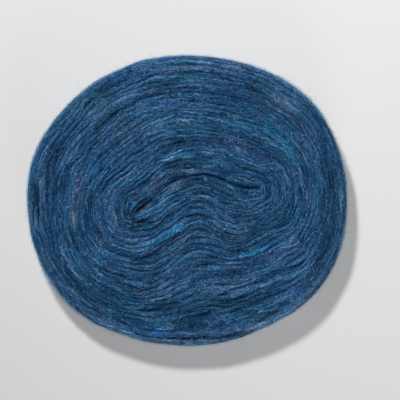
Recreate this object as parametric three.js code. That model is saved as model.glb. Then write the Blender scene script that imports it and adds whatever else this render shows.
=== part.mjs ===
// A wheel of unspun wool: one long, loose roving wound round and round into a flat cake that lies on its
// side. The hollow that it was wound on has closed into a curved fold, left of the middle, and the turns
// wrap round that fold in an S below it and a bow above it, out to an oval rim. The wheel rests on a flat
// underside, with its rim rolled over at the top and at the bottom. Millimetres, +Z up. The origin is the
// middle of the underside, +X runs along the oval's length, and the fold's blunt end points to -X.
import * as THREE from "three";

// The whole wheel.
const THICKNESS = 32; // from the surface to the highest turn
const RIM = {
  meanRadius: 105.7,
  oval: 5.5, // how far the oval's long half is over the mean, and its short half under
  ovalTilt: 5, // degrees
  wobble: 0.6, // the slight bumps round the rim
  wobbleCount: 6,
  wobbleTilt: 40, // degrees
};
// The rim stands out at its lower right and lies in a little at its upper left.
const RIM_SWELLS = [
  { height: 2.2, middle: 324, reach: 17 }, // the angles are in degrees
  { height: -1.3, middle: 146, reach: 12 },
];
const CROWN = 1.2; // the middle stands this much above the shoulder
const ROUNDING = 2.5; // exponent of the rolled rim's section: 2 is round, more is squarer

// The closed-up hollow in the middle: its line from the blunt end to the far end, seen from above.
const FOLD_LINE = [
  { x: -35.5, y: -8.3 },
  { x: -23.5, y: 2.2 },
  { x: -11.5, y: 11.5 },
  { x: 0.5, y: 16.0 },
  { x: 12.5, y: 16.8 },
  { x: 24.5, y: 14.0 },
  { x: 36.5, y: 9.5 },
  { x: 48.5, y: 8.3 },
];
const FOLD_DEPTH = 7; // how deep the fold's floor lies
const FOLD_DIP = { depth: 1.4, reach: 9 }; // the turns sink a little towards the fold

// How the inner turns bend round the fold. Depth runs from 0 at the fold to 1 at the rim.
const BLUNT_END = { height: 9, depth: 0.3, growth: 0.7, sharpness: 0.35 };
const S_WAVE = {
  height: 8,
  depth: 0.38,
  spread: 0.27,
  crestX: 7,
  leftLength: 44, // from the crest to the trough on its left
  rightLength: 30,
  reach: 70,
  fade: 0.7,
};
// The turns below the fold sag on the left and rise on the right.
const LEAN = { height: 12, x: -8, halfLength: 96, depth: 0.68, spread: 0.4 };

// The turns are gathered closer together at the right, and the top lies lower there.
const GATHER = { x: 86, y: 8, depth: 2.2, reach: 17 };

// The main twists: each is a bundle of two or three turns of roving, and they make one spiral.
const TWISTS = 13;
const TWIST_RELIEF = 1.7; // from the bottom of a groove to the top of a twist
const TWIST_SECTION = [0, 0.74, 1, 0.74]; // share of the relief at each row across one twist
const TWIST_TAPER = 1.5; // a twist that narrows keeps its height until it is this much narrower
const TWIST_UNEVEN = { share: 0.5, perTurn: 2.73 }; // a twist is lower here and there along the spiral
const TWIST_WANDER = { share: 0.3, perTurn: 5, perTwist: 1.3 }; // and swings by a share of its step
const INNER_DEPTH = 0.014; // where the first twist starts, at the lip of the fold
const FLOOR_DEPTH = 0.004; // the fold's floor is narrower than its lip
const SHOULDER_DEPTH = 0.89; // where the last twist ends and the rim starts to roll over

// The rolled rim: rows of turns stacked from the shoulder down to the underside.
const RIM_ROWS = 9;
const RIM_RELIEF = 0.8; // odd rows stand out and even rows lie in by this much

// Slow unevenness of the top.
const SWELLS = [
  { height: 0.5, alongX: 0.045, alongY: 0.03, phase: 0.4 },
  { height: 0.4, alongX: -0.03, alongY: 0.06, phase: 2.0 },
];

const COLUMNS = 84; // steps round one turn, an even number so that the fold's sides pair up
const FULL_TURN = 2 * Math.PI;
const ROWS_A_TWIST = TWIST_SECTION.length;
const LAST_ROW = ROWS_A_TWIST * (TWISTS + 1); // the first and the last twist are each tapered to a point
const TWIST_STEP = (SHOULDER_DEPTH - INNER_DEPTH) / TWISTS;

const foldCurve = new THREE.SplineCurve(FOLD_LINE.map((p) => new THREE.Vector2(p.x, p.y)));

// A bell of height 1 at 0, down to 0.37 at one reach away.
function bell(distance, reach) {
  return Math.exp(-((distance / reach) ** 2));
}

// How far a swell of the rim stands out at an angle: a bell in the cosine of the angle from its middle.
function swellAt(angle, { height, middle, reach }) {
  const { degToRad } = THREE.MathUtils;
  return height * Math.exp((Math.cos(angle - degToRad(middle)) - 1) / (1 - Math.cos(degToRad(reach))));
}

// The point of the oval rim at an angle round the wheel.
function rimPoint(angle) {
  const { degToRad } = THREE.MathUtils;
  const radius =
    RIM.meanRadius +
    RIM.oval * Math.cos(2 * (angle - degToRad(RIM.ovalTilt))) +
    RIM.wobble * Math.cos(RIM.wobbleCount * (angle - degToRad(RIM.wobbleTilt))) +
    RIM_SWELLS.reduce((sum, swell) => sum + swellAt(angle, swell), 0);
  return new THREE.Vector2(radius * Math.cos(angle), radius * Math.sin(angle));
}

// The point of a turn, seen from above. The turn at depth 0 runs along the fold and back, the one at
// depth 1 is the rim, and those between go straight from one to the other. Near the fold they are blunter
// at its ends, and below it they swing in an S and lean.
function turnPoint(depth, angle) {
  const side = Math.sin(angle);
  const fold = foldCurve.getPoint((1 + Math.cos(angle)) / 2);
  const point = fold.lerp(rimPoint(angle), depth);
  const share = depth / BLUNT_END.depth;
  const blunt = BLUNT_END.height * bell(share, 1) * share ** BLUNT_END.growth;
  point.y += blunt * (Math.sign(side) * Math.abs(side) ** BLUNT_END.sharpness - side);
  const below = Math.max(0, -side) ** S_WAVE.fade;
  const fromCrest = point.x - S_WAVE.crestX;
  const wave =
    Math.cos((Math.PI * fromCrest) / (fromCrest < 0 ? S_WAVE.leftLength : S_WAVE.rightLength)) *
    bell(fromCrest, S_WAVE.reach) *
    bell(depth - S_WAVE.depth, S_WAVE.spread);
  point.y += S_WAVE.height * wave * below;
  const along = THREE.MathUtils.clamp((point.x - LEAN.x) / LEAN.halfLength, -1, 1);
  const lean = Math.sin(Math.PI * along) * bell(depth - LEAN.depth, LEAN.spread) * (1 - depth ** 4);
  point.y += LEAN.height * lean * below;
  return point;
}

// How high the top lies at a point, before its twists: the thickness less the crown's fall, the dip by
// the fold and the gather, and with the slow swells added.
function topHeight(point, depth) {
  const swells = SWELLS.reduce(
    (sum, s) => sum + s.height * Math.sin(s.alongX * point.x + s.alongY * point.y + s.phase),
    0,
  );
  const gathered = bell(Math.hypot(point.x - GATHER.x, point.y - GATHER.y), GATHER.reach);
  const toFold = depth * RIM.meanRadius;
  const swellRoom = SWELLS.reduce((sum, s) => sum + s.height, 0);
  return (
    THICKNESS -
    TWIST_RELIEF -
    swellRoom / 2 -
    CROWN * depth ** 2 -
    FOLD_DIP.depth * bell(toFold, FOLD_DIP.reach) -
    GATHER.depth * gathered +
    swells / 2
  );
}

// Where a row of the spiral lies at an angle. Rows are numbered outwards, and a row moves out by one
// twist in one turn. The first twist widens from nothing, and the last one narrows to nothing.
function spiralRow(row, angle) {
  const turned = angle / FULL_TURN;
  const inTwist = row / ROWS_A_TWIST;
  if (inTwist <= 1) return { steps: turned * inTwist, width: turned };
  if (inTwist <= TWISTS) return { steps: turned + inTwist - 1, width: 1 };
  const across = inTwist - TWISTS;
  return { steps: TWISTS - (1 - turned) * (1 - across), width: 1 - turned };
}

// A point of the spiral's surface. The innermost and the outermost twist are held in place, and those
// between wander. The angle counted along the whole spiral says how high a twist is there.
function spiralVertex(row, angle) {
  const { steps, width } = spiralRow(row, angle);
  const held = Math.sin((Math.PI * steps) / TWISTS);
  const swing = Math.sin(TWIST_WANDER.perTurn * angle + TWIST_WANDER.perTwist * steps);
  const depth = INNER_DEPTH + TWIST_STEP * (steps + TWIST_WANDER.share * held * swing);
  const point = turnPoint(depth, angle);
  const along = angle + FULL_TURN * Math.floor(row / ROWS_A_TWIST);
  const lowered = TWIST_UNEVEN.share * (0.5 + 0.5 * Math.sin(TWIST_UNEVEN.perTurn * along));
  const section = TWIST_SECTION[row % ROWS_A_TWIST] * Math.min(1, width * TWIST_TAPER);
  return [point.x, point.y, topHeight(point, depth) + TWIST_RELIEF * (1 - lowered) * section];
}

function floorVertex(angle) {
  const point = turnPoint(FLOOR_DEPTH, angle);
  return [point.x, point.y, topHeight(point, FLOOR_DEPTH) - FOLD_DEPTH];
}

// A row of the rolled rim. Its section is a superellipse from the shoulder, out to the rim at half height,
// and back in to the edge of the flat underside. Its rows stand out and lie in by turns, square to it.
function rimVertex(row, angle) {
  const round = (Math.PI * row) / (RIM_ROWS + 1);
  const out = Math.sin(round) ** (2 / ROUNDING);
  const up = Math.abs(Math.cos(round)) ** (2 / ROUNDING) * Math.sign(Math.cos(round));
  const depth = SHOULDER_DEPTH + (1 - SHOULDER_DEPTH) * out;
  const point = turnPoint(depth, angle);
  const relief = row % 2 ? RIM_RELIEF : -RIM_RELIEF;
  point.multiplyScalar(1 + (relief * Math.sin(round)) / RIM.meanRadius);
  const middle = THICKNESS / 2;
  const half = up > 0 ? topHeight(point, SHOULDER_DEPTH) - middle : middle - RIM_RELIEF;
  return [point.x, point.y, middle + half * up + relief * Math.cos(round)];
}

// The whole closed skin: the fold's floor, the spiral, the rolled rim and the flat underside.
function woundWheel() {
  const positions = [];
  const faces = [];
  const addVertex = (xyz) => positions.push(...xyz) / 3 - 1;
  const addFace = (a, b, c) => {
    if (a !== b && b !== c && a !== c) faces.push(a, b, c);
  };
  const addQuad = (a, b, c, d) => {
    addFace(a, b, c);
    addFace(a, c, d);
  };
  const angles = Array.from({ length: COLUMNS }, (_, column) => (FULL_TURN * column) / COLUMNS);
  const ring = (vertexAt) => angles.map((angle) => addVertex(vertexAt(angle)));

  const floor = ring(floorVertex);
  const lip = ring((angle) => spiralVertex(0, angle));
  const spiral = angles.map((angle, column) => {
    const rows = [lip[column]];
    for (let row = 1; row <= LAST_ROW; row += 1) {
      const atStart = column === 0 && row <= ROWS_A_TWIST;
      rows.push(atStart ? lip[0] : addVertex(spiralVertex(row, angle)));
    }
    return rows;
  });
  const rimRings = [spiral.map((rows) => rows[LAST_ROW])];
  for (let row = 1; row <= RIM_ROWS; row += 1) rimRings.push(ring((angle) => rimVertex(row, angle)));
  rimRings.push(ring((angle) => [...turnPoint(SHOULDER_DEPTH, angle).toArray(), 0]));
  const underside = addVertex([0, 0, 0]);

  // The fold's floor: its upper and lower side are sewn together, step by step along the fold.
  for (let step = 0; step < COLUMNS / 2; step += 1) {
    const mirrored = (COLUMNS - step) % COLUMNS;
    addQuad(floor[mirrored], floor[step], floor[step + 1], floor[COLUMNS - step - 1]);
  }

  for (let column = 0; column < COLUMNS; column += 1) {
    const next = (column + 1) % COLUMNS;
    addQuad(floor[column], lip[column], lip[next], floor[next]);
    // Past the last column, each row goes on as the row one twist further out: that is the spiral.
    const shift = next === 0 ? ROWS_A_TWIST : 0;
    const nextRow = (row) => spiral[next][Math.min(row + shift, LAST_ROW)];
    for (let row = 0; row < LAST_ROW; row += 1) {
      addQuad(spiral[column][row], spiral[column][row + 1], nextRow(row + 1), nextRow(row));
    }
    for (let row = 0; row <= RIM_ROWS; row += 1) {
      addQuad(rimRings[row][column], rimRings[row + 1][column], rimRings[row + 1][next], rimRings[row][next]);
    }
    addFace(rimRings[RIM_ROWS + 1][column], underside, rimRings[RIM_ROWS + 1][next]);
  }

  const geometry = new THREE.BufferGeometry();
  geometry.setAttribute("position", new THREE.Float32BufferAttribute(positions, 3));
  geometry.setIndex(faces);
  geometry.computeVertexNormals();
  return geometry;
}

const heatheredWool = new THREE.MeshStandardMaterial({ color: 0x2a4c70, roughness: 0.95, metalness: 0 });

const wheel = new THREE.Mesh(woundWheel(), heatheredWool);
wheel.name = "roving_wheel";

const part = new THREE.Group();
part.add(wheel);

export default part;
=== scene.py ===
"""A wheel of unspun wool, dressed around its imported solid.

One long, loose roving is wound round and round into a flat cake that lies on its side. The hollow that it
was wound on has closed into a curved fold, and the turns wrap round that fold out to an oval rim, over the
rim and back along the underside. The wheel's skin is one spiral sheet with a rounded ridge for each turn.
Loose bundles of wool and thousands of single fibres lie along the turns, each with a colour of its own.
Sizes are in millimetres until a mesh is made.
"""

import logging
import math
from dataclasses import dataclass
from enum import Enum
from functools import cached_property

import bpy
import numpy as np
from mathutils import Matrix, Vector


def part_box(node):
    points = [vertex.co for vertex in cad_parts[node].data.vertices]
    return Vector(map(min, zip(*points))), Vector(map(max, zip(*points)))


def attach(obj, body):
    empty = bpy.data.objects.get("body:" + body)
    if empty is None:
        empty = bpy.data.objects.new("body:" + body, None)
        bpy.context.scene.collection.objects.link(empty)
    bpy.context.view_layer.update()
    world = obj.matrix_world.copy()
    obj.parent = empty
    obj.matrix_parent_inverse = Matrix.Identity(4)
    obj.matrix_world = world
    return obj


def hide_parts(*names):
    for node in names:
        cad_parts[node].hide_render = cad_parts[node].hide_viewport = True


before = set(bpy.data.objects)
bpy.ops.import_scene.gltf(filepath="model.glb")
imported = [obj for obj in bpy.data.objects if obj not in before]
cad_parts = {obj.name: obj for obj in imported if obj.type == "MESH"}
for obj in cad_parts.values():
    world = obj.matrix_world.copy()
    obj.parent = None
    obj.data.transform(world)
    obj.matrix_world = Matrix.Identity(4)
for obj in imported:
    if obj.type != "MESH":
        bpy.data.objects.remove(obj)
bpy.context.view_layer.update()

Array = np.ndarray
LOG = logging.getLogger("wool_wheel")

MM = 0.001
FULL_TURN = 2 * math.pi
WHEEL_NODE = "roving_wheel"
BODY = "root"
BAKE_MAP = "OFBake"  # the UV map that a bake goes through
STREAK_LENGTH = 3.0  # of the streaks of colour along the wool
STREAK_WIDTH = 0.8
RESTING = 0.02  # the wool lies this much over the surface that it rests on
PIXELS = 400  # the picture is square
PIXEL = 0.69  # the real size of a pixel of the picture
WHEEL_AT = (187.0, 200.5)  # the wheel's middle in the picture


def ease(share: Array) -> Array:
    """Returns 0 to 1 with a soft start and a soft end: three squares less two cubes."""
    return share * share * (3 - 2 * share)


def bell(distance: Array, reach: float) -> Array:
    """Returns a bell of height 1 at 0, down to 0.37 at one reach away."""
    return np.exp(-((distance / reach) ** 2))


def linear(code: str) -> Array:
    """Turns an sRGB hex colour into linear red, green and blue.

    Args:
        code: six hex digits, such as "2a4c70".

    Returns:
        Three linear values from 0 to 1.
    """
    values = np.array([int(code[i : i + 2], 16) / 255 for i in (0, 2, 4)])
    return np.where(values <= 0.04045, values / 12.92, ((values + 0.055) / 1.055) ** 2.4)


@dataclass(frozen=True)
class Noise:
    """Smooth value noise: seeded random numbers at whole steps, eased between them."""

    seed: int

    def _at(self, *cells: Array) -> Array:
        """Returns a random number from -1 to 1 for each whole-numbered cell, by mixing its digits."""
        mixed = np.full(np.broadcast(*cells).shape, self.seed * 2654435769 % 2**32, np.uint64)
        for cell, prime in zip(cells, (0x9E3779B1, 0x85EBCA77)):
            mixed ^= cell.astype(np.int64).astype(np.uint64) * np.uint64(prime) & np.uint64(0xFFFFFFFF)
            mixed = mixed * np.uint64(0x27D4EB2F) + np.uint64(0x165667B1) & np.uint64(0xFFFFFFFF)
            mixed ^= mixed >> np.uint64(15)
        return mixed / 2**31 - 1

    def line(self, along: Array) -> Array:
        """Returns noise along a line, one random number for each whole step."""
        cell = np.floor(along)
        share = ease(along - cell)
        return self._at(cell) * (1 - share) + self._at(cell + 1) * share

    def ring(self, around: Array, across: Array, steps: int) -> Array:
        """Returns noise on a ring: it meets itself after a whole lap.

        Args:
            around: laps round the ring, of which any whole number is the same place.
            across: the other direction, in whole steps of the noise.
            steps: random numbers in one lap.

        Returns:
            Values from -1 to 1.
        """
        along = around * steps
        cell, row = np.floor(along), np.floor(across)
        share, rise = ease(along - cell), ease(across - row)
        near = self._at(cell % steps, row) * (1 - share) + self._at((cell + 1) % steps, row) * share
        far = self._at(cell % steps, row + 1) * (1 - share) + self._at((cell + 1) % steps, row + 1) * share
        return near * (1 - rise) + far * rise


@dataclass(frozen=True)
class Swell:
    """A stretch of the rim that stands out, or lies in where its height is negative.

    Attributes:
        height: how far it stands out at its middle.
        middle: the angle of its middle, in degrees.
        reach: the angle to where it is down to 0.37 of its height, in degrees.
    """

    height: float
    middle: float
    reach: float

    def at(self, angle: Array) -> Array:
        """Returns how far the rim stands out at each angle: a bell in the cosine of the angle from its
        middle."""
        away = 1 - np.cos(angle - math.radians(self.middle))
        return self.height * np.exp(-away / (1 - math.cos(math.radians(self.reach))))


@dataclass(frozen=True)
class Winding:
    """The family of turns, seen from above, between the fold (depth 0) and the oval rim (depth 1)."""

    mean_radius: float
    oval: float = 5.5
    oval_tilt: float = math.radians(5)
    wobble: float = 0.6
    wobble_count: int = 6
    wobble_tilt: float = math.radians(40)
    squareness: float = 0.6
    swells: tuple[Swell, ...] = (Swell(2.2, 324, 17), Swell(-1.3, 146, 12))
    fold_x: tuple[float, ...] = (-35.5, -23.5, -11.5, 0.5, 12.5, 24.5, 36.5, 48.5)
    fold_y: tuple[float, ...] = (-8.3, 2.2, 11.5, 16.0, 16.8, 14.0, 9.5, 8.3)
    blunt_height: float = 9.0
    blunt_depth: float = 0.3
    blunt_growth: float = 0.7
    blunt_sharpness: float = 0.35
    wave_height: float = 8.0
    wave_depth: float = 0.38
    wave_spread: float = 0.27
    wave_crest_x: float = 7.0
    wave_left: float = 44.0
    wave_right: float = 30.0
    wave_reach: float = 70.0
    wave_fade: float = 0.7
    lean_height: float = 12.0
    lean_x: float = -8.0
    lean_half_length: float = 96.0
    lean_depth: float = 0.68
    lean_spread: float = 0.4
    table_depths: int = 49
    table_shares: int = 361

    def fold(self, along: Array) -> tuple[Array, Array]:
        """Returns x and y on the fold's line: a smooth curve through its points, whose slope at each one is
        that of the line between its neighbours.

        Args:
            along: from 0 at the blunt end to 1 at the far end.
        """
        last = len(self.fold_x) - 1
        cell = np.clip(np.floor(along * last).astype(int), 0, last - 1)
        part = along * last - cell
        found = []
        for values in (np.array(self.fold_x), np.array(self.fold_y)):
            before, here = values[np.maximum(cell - 1, 0)], values[cell]
            there, after = values[cell + 1], values[np.minimum(cell + 2, last)]
            leave, arrive = (there - before) / 2, (after - here) / 2
            found.append(
                (2 * here - 2 * there + leave + arrive) * part**3
                + (-3 * here + 3 * there - 2 * leave - arrive) * part**2
                + leave * part
                + here
            )
        return found[0], found[1]

    def turn(self, depth: Array, angle: Array) -> tuple[Array, Array]:
        """Returns x and y of a turn: straight from the fold's line to the rim, blunter at the fold's ends,
        with an S below it. The lower turns sag on the left and rise on the right.

        Args:
            depth: 0 on the fold's line, 1 on the rim.
            angle: the angle round the wheel.
        """
        side = np.sin(angle)
        x, y = self.fold((1 + np.cos(angle)) / 2)
        radius = (
            self.mean_radius
            + self.oval * np.cos(2 * (angle - self.oval_tilt))
            + self.wobble * np.cos(self.wobble_count * (angle - self.wobble_tilt))
            - self.squareness * np.cos(4 * angle)
            + sum(swell.at(angle) for swell in self.swells)
        )
        x = x + (radius * np.cos(angle) - x) * depth
        y = y + (radius * side - y) * depth
        share = np.maximum(depth, 0) / self.blunt_depth
        blunt = self.blunt_height * bell(share, 1) * share**self.blunt_growth
        y = y + blunt * (np.sign(side) * np.abs(side) ** self.blunt_sharpness - side)
        low = np.maximum(-side, 0) ** self.wave_fade
        from_crest = x - self.wave_crest_x
        half_length = np.where(from_crest < 0, self.wave_left, self.wave_right)
        wave = (
            np.cos(math.pi * from_crest / half_length)
            * bell(from_crest, self.wave_reach)
            * bell(depth - self.wave_depth, self.wave_spread)
        )
        y = y + self.wave_height * wave * low
        along = np.clip((x - self.lean_x) / self.lean_half_length, -1, 1)
        lean = np.sin(math.pi * along) * bell(depth - self.lean_depth, self.lean_spread) * (1 - depth**4)
        return x, y + self.lean_height * lean * low

    @cached_property
    def _measured(self) -> tuple[Array, Array]:
        """Angles at even shares of each turn's length, one row for each depth, and each turn's length."""
        dense = np.linspace(0, FULL_TURN, 4 * self.table_shares)
        shares = np.linspace(0, 1, self.table_shares)
        angles, lengths = [], []
        for depth in np.linspace(0, 1, self.table_depths):
            x, y = self.turn(np.full_like(dense, depth), dense)
            run = np.concatenate([[0], np.cumsum(np.hypot(np.diff(x), np.diff(y)))])
            angles.append(np.interp(shares, run / run[-1], dense))
            lengths.append(run[-1])
        return np.array(angles), np.array(lengths)

    def length(self, depth: Array) -> Array:
        """Returns the length of the turn at each depth."""
        lengths = self._measured[1]
        return np.interp(depth, np.linspace(0, 1, len(lengths)), lengths)

    def place(self, depth: Array, share: Array) -> tuple[Array, Array]:
        """Returns x and y of points on the turns.

        Args:
            depth: 0 on the fold's line, 1 on the rim.
            share: how far along the turn's length; a whole number is the same place.
        """
        angles = self._measured[0]
        across = np.clip(depth, 0, 1) * (self.table_depths - 1)
        along = (share - np.floor(share)) * (self.table_shares - 1)
        i = np.minimum(across.astype(int), self.table_depths - 2)
        j = np.minimum(along.astype(int), self.table_shares - 2)
        u, v = across - i, along - j
        angle = (1 - u) * ((1 - v) * angles[i, j] + v * angles[i, j + 1])
        angle += u * ((1 - v) * angles[i + 1, j] + v * angles[i + 1, j + 1])
        return self.turn(depth, angle)


@dataclass(frozen=True)
class Trace:
    """A line along which something lies on the top, through points placed on the picture.

    Attributes:
        points: in the picture's pixels, across and down.
        half_width: how far it reaches to each side.
    """

    points: tuple[tuple[float, float], ...]
    half_width: float

    def strength(self, x: Array, y: Array) -> Array:
        """Returns 1 on the line, fading to each side and towards its two ends.

        Args:
            x: places across the wheel.
            y: places up it.
        """
        knots = np.array(self.points)
        line_x, line_y = (knots[:, 0] - WHEEL_AT[0]) * PIXEL, (WHEEL_AT[1] - knots[:, 1]) * PIXEL
        margin = 3 * self.half_width
        near = (x > line_x.min() - margin) & (x < line_x.max() + margin)
        near &= (y > line_y.min() - margin) & (y < line_y.max() + margin)
        here_x, here_y = x[near], y[near]
        gap, along = np.full(here_x.shape, np.inf), np.zeros(here_x.shape)
        runs = np.hypot(np.diff(line_x), np.diff(line_y))
        starts = np.concatenate([[0], np.cumsum(runs)]) / runs.sum()
        for i, run in enumerate(runs):
            step_x, step_y = line_x[i + 1] - line_x[i], line_y[i + 1] - line_y[i]
            part = ((here_x - line_x[i]) * step_x + (here_y - line_y[i]) * step_y) / run**2
            part = np.clip(part, 0, 1)
            away = np.hypot(here_x - line_x[i] - part * step_x, here_y - line_y[i] - part * step_y)
            closer = away < gap
            gap = np.where(closer, away, gap)
            along = np.where(closer, starts[i] + part * run / runs.sum(), along)
        found = np.zeros(x.shape)
        fade = ease(np.clip(4 * np.minimum(along, 1 - along) + 0.25, 0, 1))
        found[near] = bell(gap, self.half_width) * fade
        return found


@dataclass(frozen=True)
class Crease:
    """A furrow where two lengths of roving have drawn apart."""

    trace: Trace
    depth: float


@dataclass(frozen=True)
class Tinge:
    """A length of roving with a colour of its own.

    Attributes:
        trace: where it lies.
        colour: its sRGB colour.
        share: how much of the wool there has it.
        lift: how far it stands over its neighbours.
    """

    trace: Trace
    colour: str
    share: float
    lift: float


@dataclass(frozen=True)
class Lay:
    """A length of roving that lies across its neighbours.

    Attributes:
        girth: turns from the fold at its middle.
        share: the share of a lap at its middle.
        half_length: in laps.
        drift: turns that it crosses in a whole lap, over what the spiral does.
        half_width: in turns.
        lift: how far it stands over its neighbours.
    """

    girth: float
    share: float
    half_length: float
    drift: float
    half_width: float
    lift: float

    def offset(self, girth: Array, share: Array) -> tuple[Array, Array]:
        """Returns how far points lie along it and across it, each -1 to 1 within it."""
        along = share - self.share
        along = along - np.round(along)
        middle = self.girth + along * (1 + self.drift)
        return along / self.half_length, (girth - middle) / self.half_width


@dataclass(frozen=True)
class Skin:
    """The wound surface: the top, the rolled rim and the underside in one sheet.

    A point has a girth, the number of turns between it and the fold on the top, and a share, how far along
    its turn it lies. A turn of the roving follows the line where girth less share stays the same.
    """

    winding: Winding
    thickness: float
    lays: tuple[Lay, ...] = ()
    creases: tuple[Crease, ...] = ()
    tinges: tuple[Tinge, ...] = ()
    face_turns: int = 23
    rim_turns: int = 10
    inner_depth: float = 0.014
    shoulder_depth: float = 0.89
    roundness: float = 2.5
    crown: float = 1.2
    fold_dip: float = 1.4
    fold_reach: float = 9.0
    gather_x: float = 86.0
    gather_y: float = 8.0
    gather_depth: float = 2.2
    gather_reach: float = 17.0
    ridge: float = 2.2
    ridge_roundness: float = 2.2
    flattened: float = 0.45
    wander: float = 0.75
    wander_steps: int = 17
    groove_steps: float = 26.0
    unevenness: float = 0.6
    fold_end: float = 0.8
    slit_shut: float = 0.34
    slit_end: float = 0.06
    slit_reach: float = 0.08
    parting: float = 0.45  # the fold lies open again, less, beyond its middle
    parting_at: float = 0.62
    parting_reach: float = 0.2
    section_steps: int = 721
    section_out: float = 9.5  # how far the rim's section stands out, for measuring along it
    openness: float = 0.58  # how deep the grooves are, as a share of the ridge
    openness_fold: float = 0.15
    openness_fold_reach: float = 10.0
    openness_rim: float = 0.35
    openness_rim_girth: float = 26.0
    openness_rim_reach: float = 4.0
    openness_swing: float = 0.7
    openness_quick_swing: float = 0.5
    openness_limits: tuple[float, float] = (0.08, 2.2)
    unevenness_steps: float = 37.0
    top_below: float = 0.45  # the base of the top lies this much and a ridge below the thickness

    @property
    def turns(self) -> int:
        """All the turns, from the fold on the top to the fold on the underside."""
        return 2 * self.face_turns + self.rim_turns

    @cached_property
    def _roll(self) -> tuple[Array, Array]:
        """Even shares of the rim's section, and the roll angle at each."""
        angle = np.linspace(0, math.pi, self.section_steps)
        out = np.sin(angle) ** (2 / self.roundness) * self.section_out
        up = np.abs(np.cos(angle)) ** (2 / self.roundness) * np.sign(np.cos(angle)) * self.thickness / 2
        run = np.concatenate([[0], np.cumsum(np.hypot(np.diff(out), np.diff(up)))])
        return run / run[-1], angle

    def depth(self, girth: Array) -> Array:
        """Returns the depth, 0 at the fold and 1 at the rim, at each girth."""
        face = np.minimum(girth, self.turns - girth) / self.face_turns
        flat = self.inner_depth + (self.shoulder_depth - self.inner_depth) * face
        out = np.sin(self.roll(girth)) ** (2 / self.roundness)
        return np.where(face > 1, self.shoulder_depth + (1 - self.shoulder_depth) * out, flat)

    def roll(self, girth: Array) -> Array:
        """Returns the angle by which the surface has rolled over: 0 on the top and half a turn below."""
        share = np.clip((girth - self.face_turns) / self.rim_turns, 0, 1)
        return np.interp(share, *self._roll)

    @staticmethod
    def fold_place(share: Array) -> Array:
        """Returns how far along the fold points lie: 0 at its blunt end, 1 at its far end."""
        return np.abs(2 * (share - np.floor(share)) - 1)

    def slit(self, share: Array) -> Array:
        """Returns how far the fold lies open: most at its blunt end, a little beyond its middle."""
        along = self.fold_place(share)
        beyond = self.parting * bell(along - self.parting_at, self.parting_reach)
        return bell(along - self.slit_end, self.slit_reach) + beyond

    def settle(self, girth: Array, share: Array) -> Array:
        """Returns the girth with the turns' slow wander from side to side added."""
        slow = Noise(11).ring(share, girth * 0.35, self.wander_steps)
        quick = Noise(12).ring(share, girth * 0.5, self.wander_steps * 3)
        held = np.clip(np.minimum(girth, self.turns - girth) / 2, 0, 1)
        closing = self.slit_shut * (1 - self.slit(share)) * (bell(girth, 1) - bell(self.turns - girth, 1))
        return girth + self.wander * held * (slow + 0.6 * quick) / 1.6 - closing

    def relief(self, girth: Array, share: Array) -> Array:
        """Returns how far the surface stands out from its base: a rounded ridge for each turn, with deep and
        shallow grooves between them, and the lengths that lie across.

        Args:
            girth: turns from the fold.
            share: how far along the turn.
        """
        across = girth - share
        strand = np.floor(across)
        part = across - strand
        arch = (1 - np.abs(2 * part - 1) ** self.ridge_roundness) ** (1 / self.ridge_roundness)
        number = strand + (part > 0.5)
        along = (number + share) * self.groove_steps
        open_up = (
            self.openness
            + self.openness_fold * bell(girth, self.openness_fold_reach)
            + self.openness_rim * bell(girth - self.openness_rim_girth, self.openness_rim_reach)
            + self.openness_swing * Noise(21).line(along)
            + self.openness_quick_swing * Noise(22).line(along * 2.7)
        )
        past_end = ease(np.clip((self.fold_place(share) - self.fold_end) / 0.1, 0, 1))
        open_up = np.clip(open_up, *self.openness_limits) * (1 - 0.9 * past_end * bell(girth, 1.2))
        high = self.ridge * (1 - (1 - arch) * open_up)
        high += self.unevenness * Noise(23).line((strand + share) * self.unevenness_steps) * arch
        for lay in self.lays:
            past, side = lay.offset(girth, share)
            over = (np.abs(past) < 1) & (np.abs(side) < 1)
            arched = (1 - np.abs(side[over]) ** self.ridge_roundness) ** (1 / self.ridge_roundness)
            ends = np.clip((1 - np.abs(past[over])) * 3, 0, 1) ** 0.5
            lifted = (self.ridge * arched + lay.lift) * ends
            high[over] = np.maximum(high[over], lifted)
        return high

    def base(self, girth: Array, share: Array) -> tuple[Array, Array]:
        """Returns the points that the relief stands on, and the directions in which it stands out.

        The top is nearly flat, the rim's section is a superellipse, and the underside is flat.
        """
        settled = self.settle(girth, share)
        depth, roll = self.depth(settled), self.roll(settled)
        x, y = self.winding.place(depth, share)
        gathered = bell(np.hypot(x - self.gather_x, y - self.gather_y), self.gather_reach)
        top = (
            self.thickness
            - self.ridge
            - self.top_below
            - self.crown * depth**2
            - self.fold_dip * bell(depth * self.winding.mean_radius, self.fold_reach)
            - self.gather_depth * gathered
            + 0.25 * np.sin(0.045 * x + 0.03 * y + 0.4)
            + 0.2 * np.sin(0.06 * y - 0.03 * x + 2.0)
        )
        middle, low = self.thickness / 2, self.ridge * self.flattened
        up = np.abs(np.cos(roll)) ** (2 / self.roundness) * np.sign(np.cos(roll))
        z = np.where(up > 0, middle + (top - middle) * up, middle + (middle - low) * up)
        rim_x, rim_y = self.winding.place(np.ones_like(depth), share)
        away = np.hypot(rim_x, rim_y)
        # A superellipse's normal has each part to the power of the exponent less one.
        out = np.sin(roll) ** (2 * (self.roundness - 1) / self.roundness)
        rise = np.abs(np.cos(roll)) ** (2 * (self.roundness - 1) / self.roundness) * np.sign(np.cos(roll))
        normal = np.stack([rim_x / away * out, rim_y / away * out, rise], -1)
        normal /= np.linalg.norm(normal, axis=-1, keepdims=True)
        return np.stack([x, y, z], -1), normal

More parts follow.
